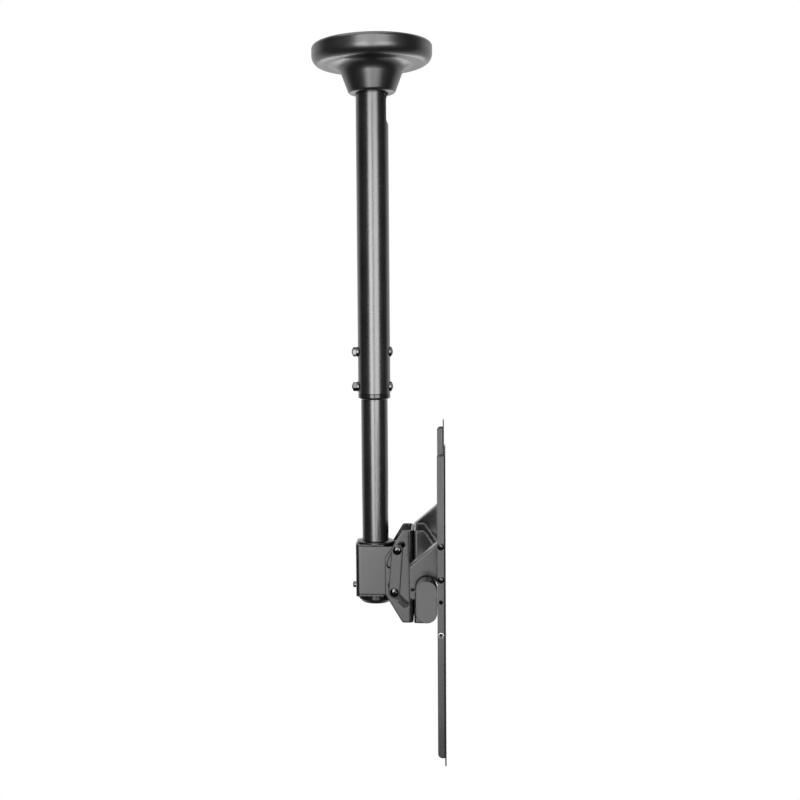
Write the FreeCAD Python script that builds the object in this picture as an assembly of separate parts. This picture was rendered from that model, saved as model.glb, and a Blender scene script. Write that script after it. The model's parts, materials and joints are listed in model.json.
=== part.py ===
import FreeCAD, Part
import math
import os

V = FreeCAD.Vector

# Telescopic ceiling mount for a flat screen. Millimetres. The origin is the centre of the ceiling
# plate's top face, +Z is up, +X points to the screen and +Y to the mount's left side.

# Ceiling plate and cover
PLATE_D = 170.0
PLATE_T = 4.0
PLATE_HOLE_PCD = 130.0
PLATE_HOLE_D = 9.0
PLATE_HOLES = 4
COVER_RIM_R = 93.8
COVER_DISC_H = 32.6
COVER_DISH = 1.9
COVER_NECK_R = 35.9
COVER_NECK_ROOT_R = 52.8
COVER_H = 75.3
COVER_T = 2.5
COVER_RIM_ROUND = 15.7
COVER_ROOT_ROUND = 22.0
COVER_LIP_ROUND = 6.0
COVER_TOP_ROUND = 5.7
COVER_TOP_LIP = 8.0
COVER_CEILING_GAP = 0.5

# Telescopic pole
UPPER_OD = 50.8
UPPER_WALL = 1.8
UPPER_LENGTH = 538.4
LOWER_OD = 42.0
LOWER_WALL = 2.0
CABLE_SLOT_W = 27.0
CABLE_SLOT_TOP = 70.8
CABLE_SLOT_BOTTOM = 123.8
BUSH_FLANGE_H = 9.5
BUSH_SLEEVE_H = 5.0
BUSH_ROUND = 4.0
GLIDE_H = 14.0
GLIDE_LIP = 2.0
PITCH = 55.0
STEPS_UP = 4
STEPS_DOWN = 2
BOLT_ABOVE_END = 10.7
TUBE_ABOVE_BOLT = 25.0

# Fasteners
M8_D = 8.0
M8_HEAD_D = 14.0
M8_HEAD_H = 2.8
M8_HEX = 13.0
M8_NUT_H = 6.8
M8_SOCKET = 5.0
M10_D = 10.0
M10_HEAD_D = 18.0
M10_HEAD_H = 2.6
M10_HEX = 16.0
M10_NUT_H = 8.0
M6_D = 6.0
M6_HEAD_D = 10.5
M6_HEAD_H = 3.3
M6_HEX = 10.0
M6_NUT_H = 4.0
M6_SOCKET = 4.0
M5_D = 5.0
M5_HEAD_D = 9.5
M5_HEAD_H = 2.8
M5_HEX = 8.0
M5_NUT_H = 4.0
M5_SOCKET = 3.0
SADDLE_D = 16.0
SADDLE_T = 1.8
LOCK_HEAD_D = 9.7
LOCK_HEAD_L = 6.2
LOCK_CHAMFER = 0.8
BOLT_TAIL = 1.0
HEAD_RIM_H = 1.0
SOCKET_FLOOR = 1.2
NUT_CROWN = 0.94

# Swivel head
HEAD_Z = -828.8
TILT_X = 82.9
RAIL_RISE = 5.0
BOX_ABOVE = 49.0
BOX_BELOW = 34.0
BOX_T = 3.0
BOX_CORNER_R = 6.0
BOX_SIDE_GAP = 3.0
BOX_BACK_GAP = 6.2
BOX_PLATE_FRONT = 15.0
BOX_PLATE_CORNER_R = 1.0
EAR_TOP_X = 46.2
EAR_BOTTOM_X = 35.2
EAR_CORNER_R = 6.0
COLLAR_R = 29.6
COLLAR_H = 4.0
COLLAR_SLOPE = 1.6
COLLAR_EDGE_R = 0.8
COLLAR_SLEEVE_H = 12.0
BEARING_WALL = 3.0
THRUST_T = 1.6
RETAINER_R = 26.0
RETAINER_T = 4.0
CAP_WALL = 2.0
CAP_H = 10.5
CAP_CHAMFER = 5.5
CAP_SLOPE_H = 6.0
CAP_ROUND = 2.5
CAP_HOLE_ROUND = 1.0
CAP_HOLE_D = 26.0
CAP_SPIGOT_H = 8.0
LOCK_ABOVE_FLOOR = 13.4

# Tilt linkage
SLOT_R = 60.0
SLOT_HALF_W = 4.6
UPPER_SCREW_DEG = 38.0
LOWER_SCREW_DEG = -29.5
TILT_FORWARD = 25.0
TILT_BACK = 10.0
SLOT_SPARE_DEG = 0.8
LINK_W = 18.0
LINK_T = 2.5
TILT_WASHER_D = 10.0
TILT_WASHER_T = 2.8

# Tilt bracket and rail bracket, two folded channels set back to back
FOLD_T = 3.0
TILT_FOLD_R = 7.5
RAIL_FOLD_R = 4.0
BRACKET_HALF_H = 73.0
CHEEK_BACK_X = 16.2
CHEEK_BACK_HALF_H = 28.0
CHEEK_TOP_X = 43.2
CHEEK_ROUND = 5.0
TILT_WEB_X = 60.3
LEVEL_GAP = 1.2
LEVEL_WASHER_D = 44.0
LEVEL_LOCK_Z = 45.0
LEVEL_DEG = 3.0
RAIL_FLANGE_HALF_W = 35.0
RAIL_FLANGE_FRONT = 5.5
RAIL_FLANGE_TOP_X = 78.5
RAIL_FLANGE_FRONT_HALF_H = 36.0

# Rail
RAIL_W = 30.0
RAIL_H = 60.0
RAIL_WALL = 2.0
RAIL_LENGTH = 422.0
CAP_FACE_T = 3.0
CAP_EDGE_ROUND = 0.8
CAP_PLUG_L = 12.0
CAP_PLUG_WALL = 2.0

# Screen arms and their hooks
ARM_SPACING = 400.0
ARM_W = 40.0
ARM_DEPTH = 12.0
ARM_T = 2.0
ARM_FOLD_R = 4.0
ARM_LENGTH = 456.5
ARM_DROP = 2.0
ARM_TAB = 14.0
ARM_END_R = 6.0
ARM_TAB_R = 8.0
SCREEN_HOLE_D = 8.5
SCREEN_HOLES = (100.0, 150.0, 200.0)
SCREEN_SLOT_L = 28.0
SCREEN_SLOTS = (50.0, 125.0, 175.0)
FLANGE_HOLE_PITCHES = (63.0, 16.0)
FLANGE_HOLES_ABOVE = 22.6
HOOK_T = 2.5
HOOK_W = 22.0
HOOK_BACK_X = 57.7
HOOK_LEG_TOP = 47.6
HOOK_ROOF_TOP = 82.1
HOOK_TAB_TOP = 96.0
HOOK_TAB_BOTTOM = 18.0
HOOK_ROUND = 4.0
HOOK_PIN_D = 4.0
HOOK_PIN_Z = 14.5
RIVET_NUT_D = 9.0
RIVET_NUT_FLANGE = 0.8
RIVET_NUT_L = 9.0
RIVET_NUT_BORE = 5.0

# Clearances
RUN_FIT = 0.05
SLIDE_FIT = 0.3
HOLE_FIT = 0.3
WASHER_FIT = 0.1
COVER_FIT = 0.4

# Positions that follow from the sizes above
UPPER_R = UPPER_OD / 2
UPPER_BORE_R = UPPER_R - UPPER_WALL
LOWER_R = LOWER_OD / 2
LOWER_BORE_R = LOWER_R - LOWER_WALL
RAIL_Z = HEAD_Z + RAIL_RISE
UPPER_END_Z = -(PLATE_T + UPPER_LENGTH)
LOW_BOLT_Z = UPPER_END_Z + BOLT_ABOVE_END
BOLT_Z = (LOW_BOLT_Z, LOW_BOLT_Z + PITCH)
LOWER_TOP_Z = BOLT_Z[1] + STEPS_DOWN * PITCH + TUBE_ABOVE_BOLT
BOX_TOP_Z = HEAD_Z + BOX_ABOVE
BOX_FLOOR_Z = HEAD_Z - BOX_BELOW
BOX_HALF_W = LOWER_R + BOX_SIDE_GAP + BOX_T
BOX_BACK_X = -(LOWER_R + BOX_BACK_GAP + BOX_T)
LOCK_Z = BOX_FLOOR_Z + LOCK_ABOVE_FLOOR
BEARING_R = LOWER_R + BEARING_WALL
RETAINER_TOP_Z = BOX_FLOOR_Z - THRUST_T - WASHER_FIT
LOWER_END_Z = RETAINER_TOP_Z - RETAINER_T
CHEEK_IN = BOX_HALF_W + TILT_WASHER_T + WASHER_FIT
CHEEK_OUT = CHEEK_IN + FOLD_T
LINK_IN = CHEEK_OUT + WASHER_FIT
LINK_OUT = LINK_IN + LINK_T
RAIL_WEB_X = TILT_WEB_X + LEVEL_GAP
RAIL_FRONT_X = TILT_X + RAIL_W / 2
RAIL_BACK_X = TILT_X - RAIL_W / 2
ARM_BACK_X = RAIL_FRONT_X + SLIDE_FIT
ARM_FRONT_X = ARM_BACK_X + ARM_DEPTH
ARM_HOLE_X = ARM_BACK_X + (ARM_DEPTH - ARM_T) / 2
ARM_Z = HEAD_Z - ARM_DROP
ARM_IN = ARM_SPACING / 2 - ARM_W / 2
ARM_OUT = ARM_SPACING / 2 + ARM_W / 2
FLANGE_MIDDLE_Z = HEAD_Z + FLANGE_HOLES_ABOVE
FLANGE_HOLE_Z = [FLANGE_MIDDLE_Z + s * p for s in (1, -1) for p in FLANGE_HOLE_PITCHES]
BOLTED_HOLE_Z = FLANGE_HOLE_Z[:2]
RIVET_HOLE_Z = min(FLANGE_HOLE_Z)
SIDES = {"left": 1, "right": -1}

# A slot outline keeps this much straight between its end arcs, so that no edge has zero length
SLIVER = 2e-3


def outline(corners, place):
    """A closed wire through corners (a, b, radius), each rounded by an arc; place(a, b) gives the point."""
    starts, ends, middles = [], [], []
    for i, (a, b, radius) in enumerate(corners):
        corner = V(a, b, 0)
        to_last = (V(*corners[i - 1][:2], 0) - corner).normalize()
        to_next = (V(*corners[(i + 1) % len(corners)][:2], 0) - corner).normalize()
        half = to_last.getAngle(to_next) / 2
        inward = (to_last + to_next).normalize()
        starts.append(corner + to_last * (radius / math.tan(half)))
        ends.append(corner + to_next * (radius / math.tan(half)))
        middles.append(corner + inward * (radius / math.sin(half) - radius))
    edges = []
    for i, (a, b, radius) in enumerate(corners):
        points = [place(p.x, p.y) for p in (starts[i], middles[i], ends[i])]
        if radius:
            edges.append(Part.Arc(*points).toShape())
        follow = starts[(i + 1) % len(corners)]
        if (follow - ends[i]).Length > SLIVER / 1000:
            edges.append(Part.LineSegment(points[2], place(follow.x, follow.y)).toShape())
    return Part.Wire(edges)


def side_prism(corners, y0, y1):
    """A solid whose outline is seen from the side, in X and Z, between two values of Y."""
    face = Part.Face(outline(corners, lambda x, z: V(x, min(y0, y1), z)))
    return face.extrude(V(0, abs(y1 - y0), 0))


def front_prism(corners, x0, x1):
    """A solid whose outline is seen along X, in Y and Z, between two values of X."""
    face = Part.Face(outline(corners, lambda y, z: V(x0, y, z)))
    return face.extrude(V(x1 - x0, 0, 0))


def plan_prism(corners, z0, z1):
    """A solid whose outline is seen from above, in X and Y, between two heights."""
    face = Part.Face(outline(corners, lambda x, y: V(x, y, z0)))
    return face.extrude(V(0, 0, z1 - z0))


def turned(corners):
    """A solid of revolution about the pole, from corners (radius, height, rounding)."""
    face = Part.Face(outline(corners, lambda r, z: V(r, 0, z)))
    return face.revolve(V(0, 0, 0), V(0, 0, 1), 360)


def rod_x(radius, x0, x1, y, z):
    return Part.makeCylinder(radius, abs(x1 - x0), V(min(x0, x1), y, z), V(1, 0, 0))


def rod_y(radius, y0, y1, x, z):
    return Part.makeCylinder(radius, abs(y1 - y0), V(x, min(y0, y1), z), V(0, 1, 0))


def rod_z(radius, z0, z1, x=0.0, y=0.0):
    return Part.makeCylinder(radius, abs(z1 - z0), V(x, y, min(z0, z1)), V(0, 0, 1))


def ring_z(outer, inner, z0, z1):
    return rod_z(outer, z0, z1).cut(rod_z(inner, z0, z1))


def ring_y(outer, inner, y0, y1, x, z):
    return rod_y(outer, y0, y1, x, z).cut(rod_y(inner, y0, y1, x, z))


def hexagon(flats, height, base, axis):
    """A hexagonal prism that stands on base along axis."""
    corner = flats / math.sqrt(3)
    points = [V(corner * math.cos(math.radians(60 * i)), corner * math.sin(math.radians(60 * i)), 0)
              for i in range(6)]
    prism = Part.Face(Part.makePolygon(points + points[:1])).extrude(V(0, 0, height))
    prism.Placement = FreeCAD.Placement(base, FreeCAD.Rotation(V(0, 0, 1), axis))
    return prism


def button_screw(head_d, head_h, shank_d, length, socket, base, axis):
    """A domed socket screw: the head stands on base along axis, the shank runs the other way."""
    head_r, shank_r = head_d / 2, shank_d / 2
    screw = turned([(0, -length, 0), (shank_r, -length, 0), (shank_r, 0, 0), (head_r, 0, 0),
                    (head_r, head_h, head_h - HEAD_RIM_H), (0, head_h, 0)])
    screw = screw.cut(hexagon(socket, head_h, V(0, 0, SOCKET_FLOOR), V(0, 0, 1)))
    screw.Placement = FreeCAD.Placement(base, FreeCAD.Rotation(V(0, 0, 1), axis))
    return screw


def hex_nut(flats, height, bore, base, axis):
    """A hexagon nut that stands on base along axis, its outer corners taken off by a cone."""
    nut = hexagon(flats, height, V(0, 0, 0), V(0, 0, 1))
    corner, crown = flats / math.sqrt(3), flats / 2 * NUT_CROWN
    cone = Part.makeCone(corner + height, crown, height + corner - crown)
    nut = nut.common(cone.translate(V(0, 0, crown - corner))).cut(rod_z(bore / 2, 0, height))
    nut.Placement = FreeCAD.Placement(base, FreeCAD.Rotation(V(0, 0, 1), axis))
    return nut


def slot_corners(half_w, half_h, a, b):
    """Corners of a slot with round ends, centred on a, b."""
    r = min(half_w, half_h) - SLIVER / 2
    return [(a - half_w, b - half_h, r), (a + half_w, b - half_h, r),
            (a + half_w, b + half_h, r), (a - half_w, b + half_h, r)]


def stadium(width, height, x, z):
    """Corners of an upright slot outline of a given width and height."""
    return slot_corners(width / 2, height / 2, x, z)


def channel(open_x, web_x, half_w, wall, fold_r, z0, z1):
    """A folded sheet channel: two legs that run along X from a web, rounded at the folds."""
    inner_x = web_x - math.copysign(wall, web_x - open_x)
    inner_w = half_w - wall
    inner_r = fold_r - wall
    corners = [(open_x, -half_w, 0), (web_x, -half_w, fold_r), (web_x, half_w, fold_r), (open_x, half_w, 0),
               (open_x, inner_w, 0), (inner_x, inner_w, inner_r), (inner_x, -inner_w, inner_r),
               (open_x, -inner_w, 0)]
    return plan_prism(corners, z0, z1)


def on_arc(degrees, radius=SLOT_R):
    """The point X, Z on the tilt arc, measured upward from the line that points back to the pole."""
    angle = math.radians(degrees)
    return TILT_X - radius * math.cos(angle), RAIL_Z + radius * math.sin(angle)


def inset(points, distance):
    """An open run of points moved sideways by a distance, to the right of its direction."""
    moved = []
    for (ax, az), (bx, bz) in zip(points, points[1:]):
        length = math.hypot(bx - ax, bz - az)
        nx, nz = (bz - az) / length * distance, -(bx - ax) / length * distance
        moved.append(((ax + nx, az + nz), (bx + nx, bz + nz)))
    run = [moved[0][0]]
    for ((ax, az), (bx, bz)), ((cx, cz), (dx, dz)) in zip(moved, moved[1:]):
        cross = (bx - ax) * (dz - cz) - (bz - az) * (dx - cx)
        share = ((cx - ax) * (dz - cz) - (cz - az) * (dx - cx)) / cross
        run.append((ax + share * (bx - ax), az + share * (bz - az)))
    return run + [moved[-1][1]]


# Ceiling plate, cover and upper pole

def ceiling_plate():
    plate = ring_z(PLATE_D / 2, UPPER_BORE_R, -PLATE_T, 0)
    for i in range(PLATE_HOLES):
        angle = math.radians(45 + 360 * i / PLATE_HOLES)
        x, y = PLATE_HOLE_PCD / 2 * math.cos(angle), PLATE_HOLE_PCD / 2 * math.sin(angle)
        plate = plate.cut(rod_z(PLATE_HOLE_D / 2, -PLATE_T, 0, x, y))
    return plate


def ceiling_cover():
    """A flared canopy: rolled rim, dished underside, and a cone that closes on the pole."""
    hole_r = UPPER_R + COVER_FIT
    top = -COVER_CEILING_GAP
    skin = [(COVER_RIM_R - COVER_TOP_LIP, top), (COVER_RIM_R, top), (COVER_RIM_R, -COVER_DISC_H),
            (COVER_NECK_ROOT_R, -COVER_DISC_H + COVER_DISH), (COVER_NECK_R, -COVER_H), (hole_r, -COVER_H)]
    lining = inset(skin, COVER_T)
    rounds = (0, COVER_TOP_ROUND, COVER_RIM_ROUND, COVER_ROOT_ROUND, COVER_LIP_ROUND, 0)
    grow = (0, -COVER_T, -COVER_T, COVER_T, -COVER_T, 0)
    corners = [(r, z, d) for (r, z), d in zip(skin, rounds)]
    corners += [(r, z, d + g) for (r, z), d, g in zip(lining, rounds, grow)][::-1]
    return turned(corners)


def upper_tube():
    tube = ring_z(UPPER_R, UPPER_BORE_R, UPPER_END_Z, -PLATE_T)
    middle = -(CABLE_SLOT_TOP + CABLE_SLOT_BOTTOM) / 2
    slot = front_prism(stadium(CABLE_SLOT_W, CABLE_SLOT_BOTTOM - CABLE_SLOT_TOP, 0, middle), 0, UPPER_OD)
    tube = tube.cut(slot)
    for z in BOLT_Z:
        tube = tube.cut(rod_x(M8_D / 2 + HOLE_FIT, -UPPER_OD, UPPER_OD, 0, z))
    return tube


def guide_bush():
    bore, sleeve = LOWER_R + RUN_FIT, UPPER_BORE_R - RUN_FIT
    bottom = UPPER_END_Z - BUSH_FLANGE_H
    return turned([(bore, bottom, 0), (UPPER_R, bottom, BUSH_ROUND), (UPPER_R, UPPER_END_Z, 0),
                   (sleeve, UPPER_END_Z, 0), (sleeve, UPPER_END_Z + BUSH_SLEEVE_H, 0),
                   (bore, UPPER_END_Z + BUSH_SLEEVE_H, 0)])


def saddle_washers():
    """Washers with one hollow side that seats on the pole."""
    seat = rod_z(UPPER_R, UPPER_END_Z, 0)
    washers = []
    for z in BOLT_Z:
        for side in (1, -1):
            blank = rod_x(SADDLE_D / 2, side * LOWER_R, side * (UPPER_R + SADDLE_T), 0, z)
            bore = rod_x(M8_D / 2 + HOLE_FIT, side * LOWER_R, side * (UPPER_R + SADDLE_T), 0, z)
            washers.append(blank.cut(bore).cut(seat))
    return Part.makeCompound(washers)


def height_bolts():
    seat = UPPER_R + SADDLE_T
    length = 2 * seat + M8_NUT_H + BOLT_TAIL
    return Part.makeCompound([
        button_screw(M8_HEAD_D, M8_HEAD_H, M8_D, length, M8_SOCKET, V(seat, 0, z), V(1, 0, 0)) for z in BOLT_Z])


def height_nuts():
    seat = UPPER_R + SADDLE_T
    return Part.makeCompound([hex_nut(M8_HEX, M8_NUT_H, M8_D, V(-seat, 0, z), V(-1, 0, 0)) for z in BOLT_Z])


# Lower pole

def lower_tube():
    tube = ring_z(LOWER_R, LOWER_BORE_R, LOWER_END_Z, LOWER_TOP_Z)
    lowest = LOW_BOLT_Z - STEPS_UP * PITCH
    for i in range(STEPS_UP + STEPS_DOWN + 2):
        tube = tube.cut(rod_x(M8_D / 2 + HOLE_FIT, -LOWER_OD, LOWER_OD, 0, lowest + i * PITCH))
    return tube


def glide_ring():
    """A plastic ring that centres the lower pole in the upper one."""
    outer = UPPER_BORE_R - RUN_FIT
    top = LOWER_TOP_Z + GLIDE_LIP
    return turned([(LOWER_BORE_R, LOWER_TOP_Z, 0), (LOWER_R, LOWER_TOP_Z, 0), (LOWER_R, top - GLIDE_H, 0),
                   (outer, top - GLIDE_H, 0), (outer, top, GLIDE_LIP / 2), (LOWER_BORE_R, top, 0)])


def retaining_flange():
    return ring_z(RETAINER_R, LOWER_R, LOWER_END_Z, RETAINER_TOP_Z)


def bottom_cap():
    """A chamfered plastic cap over the retaining flange, open in the middle for cables."""
    outer = RETAINER_R + CAP_WALL
    top, bottom = RETAINER_TOP_Z, RETAINER_TOP_Z - CAP_H
    hole, plug = CAP_HOLE_D / 2, LOWER_BORE_R - RUN_FIT
    return turned([(hole, bottom, CAP_HOLE_ROUND), (outer - CAP_CHAMFER, bottom, CAP_ROUND),
                   (outer, bottom + CAP_SLOPE_H, CAP_ROUND), (outer, top, 0), (RETAINER_R, top, 0),
                   (RETAINER_R, LOWER_END_Z, 0), (plug, LOWER_END_Z, 0),
                   (plug, LOWER_END_Z + CAP_SPIGOT_H, 0), (hole, LOWER_END_Z + CAP_SPIGOT_H, 0)])


# Swivel box

def swivel_collar():
    """The upper swivel bearing: a sleeve in the top plate under a wide sloping flange."""
    bore, top = LOWER_R + RUN_FIT, BOX_TOP_Z + COLLAR_H
    return turned([(bore, BOX_TOP_Z - COLLAR_SLEEVE_H, 0), (BEARING_R, BOX_TOP_Z - COLLAR_SLEEVE_H, 0),
                   (BEARING_R, BOX_TOP_Z, 0), (COLLAR_R, BOX_TOP_Z, 0),
                   (COLLAR_R, top - COLLAR_SLOPE, COLLAR_EDGE_R), (BEARING_R, top, 0), (bore, top, 0)])


def thrust_bush():
    """The lower swivel bearing: a sleeve in the floor plate over a flange that rides on the retainer."""
    bore = LOWER_R + RUN_FIT
    bottom, top = BOX_FLOOR_Z - THRUST_T, BOX_FLOOR_Z + BOX_T
    return turned([(bore, bottom, 0), (RETAINER_R, bottom, 0), (RETAINER_R, BOX_FLOOR_Z, 0),
                   (BEARING_R, BOX_FLOOR_Z, 0), (BEARING_R, top, 0), (bore, top, 0)])


def box_plate(z0, z1):
    """A plate that closes the swivel box and carries a bearing."""
    half, r = BOX_HALF_W, BOX_PLATE_CORNER_R
    plate = plan_prism([(BOX_BACK_X, -half, BOX_CORNER_R), (BOX_PLATE_FRONT, -half, r),
                        (BOX_PLATE_FRONT, half, r), (BOX_BACK_X, half, BOX_CORNER_R)], z0, z1)
    return plate.cut(rod_z(BEARING_R, z0, z1))


def box_top_plate():
    return box_plate(BOX_TOP_Z - BOX_T, BOX_TOP_Z)


def box_floor_plate():
    return box_plate(BOX_FLOOR_Z, BOX_FLOOR_Z + BOX_T)


def swivel_box():
    """A folded wall round the pole whose sides run forward as ears for the tilt screws."""
    top, floor = BOX_TOP_Z - BOX_T, BOX_FLOOR_Z + BOX_T
    wall = channel(EAR_TOP_X, BOX_BACK_X, BOX_HALF_W, BOX_T, BOX_CORNER_R, floor, top)
    r = EAR_CORNER_R
    ear = side_prism([(BOX_BACK_X, floor, 0), (EAR_BOTTOM_X, floor, r), (EAR_TOP_X, HEAD_Z, r),
                      (EAR_TOP_X, top, r), (BOX_BACK_X, top, 0)], -BOX_HALF_W, BOX_HALF_W)
    wall = wall.common(ear)
    for degrees in (UPPER_SCREW_DEG, LOWER_SCREW_DEG):
        x, z = on_arc(degrees)
        wall = wall.cut(rod_y(M8_D / 2, -BOX_HALF_W, BOX_HALF_W, x, z))
    return wall.cut(rod_x(M6_D / 2, BOX_BACK_X, BOX_BACK_X + BOX_T, 0, LOCK_Z))


def swivel_lock_screw():
    """A round-headed socket screw whose tip stops the swivel against the pole."""
    end = BOX_BACK_X - LOCK_HEAD_L
    head = rod_x(LOCK_HEAD_D / 2, end, BOX_BACK_X, 0, LOCK_Z)
    head = head.makeChamfer(LOCK_CHAMFER, [e for e in head.Edges if e.BoundBox.XMax < end + LOCK_CHAMFER])
    shank = rod_x(M6_D / 2, BOX_BACK_X, -LOWER_R - SLIDE_FIT, 0, LOCK_Z)
    return head.fuse(shank).cut(hexagon(M6_SOCKET, LOCK_HEAD_L / 2, V(end, 0, LOCK_Z), V(1, 0, 0)))


def lock_screw_nut():
    return hex_nut(M6_HEX, M6_NUT_H, M6_D, V(BOX_BACK_X + BOX_T, 0, LOCK_Z), V(1, 0, 0))


# Tilt linkage

def tilt_link(side):
    """A bar that ties the two tilt screws of one cheek together."""
    (ax, az), (bx, bz) = on_arc(UPPER_SCREW_DEG), on_arc(LOWER_SCREW_DEG)
    span = math.hypot(bx - ax, bz - az)
    y = side * LINK_IN
    bar = side_prism(stadium(LINK_W, span + LINK_W, 0, 0), y, side * LINK_OUT)
    lean = math.degrees(math.atan2(ax - bx, az - bz))
    bar.rotate(V(0, 0, 0), V(0, 1, 0), lean)
    bar.translate(V((ax + bx) / 2, 0, (az + bz) / 2))
    for x, z in ((ax, az), (bx, bz)):
        bar = bar.cut(rod_y(M8_D / 2, y, side * LINK_OUT, x, z))
    return bar


def at_tilt_screws(make):
    """One copy of a small piece at each of the four tilt screws; make(side, x, z) gives it."""
    places = [on_arc(degrees) for degrees in (UPPER_SCREW_DEG, LOWER_SCREW_DEG)]
    return Part.makeCompound([make(side, x, z) for side in SIDES.values() for x, z in places])


def tilt_screws():
    length = LINK_OUT - BOX_HALF_W + BOX_T + M8_NUT_H / 2 + BOLT_TAIL
    return at_tilt_screws(lambda side, x, z: button_screw(
        M8_HEAD_D, M8_HEAD_H, M8_D, length, M8_SOCKET, V(x, side * LINK_OUT, z), V(0, side, 0)))


def tilt_nuts():
    seat = BOX_HALF_W - BOX_T
    return at_tilt_screws(lambda side, x, z: hex_nut(
        M8_HEX, M8_NUT_H / 2, M8_D, V(x, side * seat, z), V(0, -side, 0)))


def tilt_washers():
    inner, outer = BOX_HALF_W, BOX_HALF_W + TILT_WASHER_T
    return at_tilt_screws(lambda side, x, z: ring_y(
        TILT_WASHER_D / 2, M8_D / 2, side * inner, side * outer, x, z))


def arc_slot(from_deg, to_deg):
    """A slot through both cheeks that follows the tilt arc between two angles."""
    low, high = from_deg - SLOT_SPARE_DEG, to_deg + SLOT_SPARE_DEG
    reach = 2 * CHEEK_OUT
    edge = []
    for radius, run in ((SLOT_R + SLOT_HALF_W, (low, high)), (SLOT_R - SLOT_HALF_W, (high, low))):
        points = [on_arc(degrees, radius) for degrees in (run[0], (low + high) / 2, run[1])]
        edge.append([V(x, -reach, z) for x, z in points])
    outer, inner = edge
    edges = [Part.Arc(*outer).toShape(), Part.LineSegment(outer[2], inner[0]).toShape(),
             Part.Arc(*inner).toShape(), Part.LineSegment(inner[2], outer[0]).toShape()]
    band = Part.Face(Part.Wire(edges)).extrude(V(0, 2 * reach, 0))
    return band.fuse([rod_y(SLOT_HALF_W, -reach, reach, *on_arc(degrees)) for degrees in (low, high)])


def tilt_bracket():
    """A folded channel whose cheeks carry the arc slots that the tilt screws run in."""
    top, floor = HEAD_Z + BRACKET_HALF_H, HEAD_Z - BRACKET_HALF_H
    bracket = channel(CHEEK_BACK_X, TILT_WEB_X, CHEEK_OUT, FOLD_T, TILT_FOLD_R, floor, top)
    r, back_h = CHEEK_ROUND, CHEEK_BACK_HALF_H
    cheek = side_prism([(CHEEK_BACK_X, HEAD_Z - back_h, r), (CHEEK_TOP_X, floor, r), (TILT_WEB_X, floor, 0),
                        (TILT_WEB_X, top, 0), (CHEEK_TOP_X, top, r), (CHEEK_BACK_X, HEAD_Z + back_h, r)],
                       -CHEEK_OUT, CHEEK_OUT)
    bracket = bracket.common(cheek)
    for degrees in (UPPER_SCREW_DEG, LOWER_SCREW_DEG):
        bracket = bracket.cut(arc_slot(degrees - TILT_FORWARD, degrees + TILT_BACK))
    bracket = bracket.cut(rod_x(M10_D / 2, CHEEK_BACK_X, TILT_WEB_X, 0, HEAD_Z))
    for side in (1, -1):
        bracket = bracket.cut(rod_x(M6_D / 2, CHEEK_BACK_X, TILT_WEB_X, 0, HEAD_Z + side * LEVEL_LOCK_Z))
    return bracket


# Level joint

def level_pivot_bolt():
    seat = RAIL_WEB_X + FOLD_T + WASHER_FIT
    length = seat - (TILT_WEB_X - FOLD_T) + M10_NUT_H + BOLT_TAIL
    return button_screw(M10_HEAD_D, M10_HEAD_H, M10_D, length, M6_SOCKET, V(seat, 0, HEAD_Z), V(1, 0, 0))


def level_pivot_nut():
    return hex_nut(M10_HEX, M10_NUT_H, M10_D, V(TILT_WEB_X - FOLD_T, 0, HEAD_Z), V(-1, 0, 0))


def level_washer():
    outer = rod_x(LEVEL_WASHER_D / 2, TILT_WEB_X, RAIL_WEB_X - WASHER_FIT, 0, HEAD_Z)
    return outer.cut(rod_x(M10_D / 2, TILT_WEB_X, RAIL_WEB_X, 0, HEAD_Z))


def level_lock_bolts():
    seat = RAIL_WEB_X + FOLD_T + WASHER_FIT
    length = seat - (TILT_WEB_X - FOLD_T) + M6_NUT_H + BOLT_TAIL
    places = [V(seat, 0, HEAD_Z + side * LEVEL_LOCK_Z) for side in (1, -1)]
    return Part.makeCompound([
        button_screw(M6_HEAD_D, M6_HEAD_H, M6_D, length, M6_SOCKET, place, V(1, 0, 0)) for place in places])


def level_lock_nuts():
    places = [V(TILT_WEB_X - FOLD_T, 0, HEAD_Z + side * LEVEL_LOCK_Z) for side in (1, -1)]
    return Part.makeCompound([hex_nut(M6_HEX, M6_NUT_H, M6_D, place, V(-1, 0, 0)) for place in places])


# Rail and its bracket

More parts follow.
